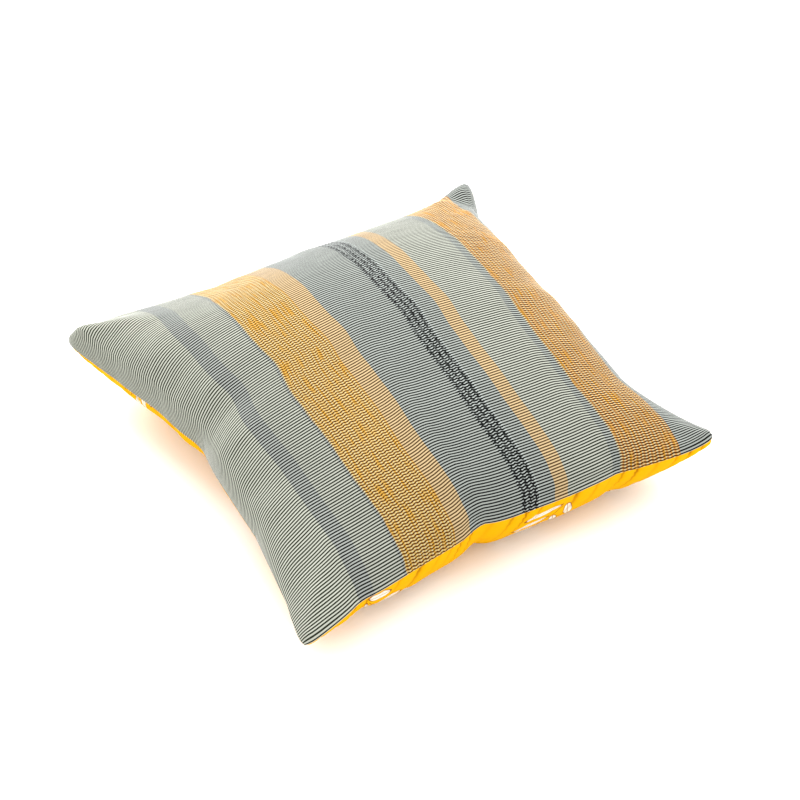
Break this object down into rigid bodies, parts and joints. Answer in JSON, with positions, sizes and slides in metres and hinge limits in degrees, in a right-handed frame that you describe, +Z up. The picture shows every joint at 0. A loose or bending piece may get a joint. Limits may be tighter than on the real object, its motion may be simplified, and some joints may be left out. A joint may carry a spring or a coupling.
{
  "type": "filled square pillowcase",
  "caption": "Square scatter cushion in its sewn case: a ribbed, band-woven front panel and a plain printed back panel, filled and lying on its back.",
  "frame": {"origin": "under the middle of the cushion's bounding box, on the surface it lies on", "axes": "+Z up through the front panel, +X along the near seam across the woven bands, +Y along the left seam with the bands"},
  "size_m": [0.4448, 0.4404, 0.1348],
  "materials": {
    "woven_front": "matte, ribbed hand-woven cotton with grey, peach and orange bands",
    "printed_back": "matte plain-woven cotton, golden yellow with a pale print"
  },
  "bodies": {
    "root": {"front_panel": "woven_front", "back_panel": "printed_back"}
  },
  "joints": []
}
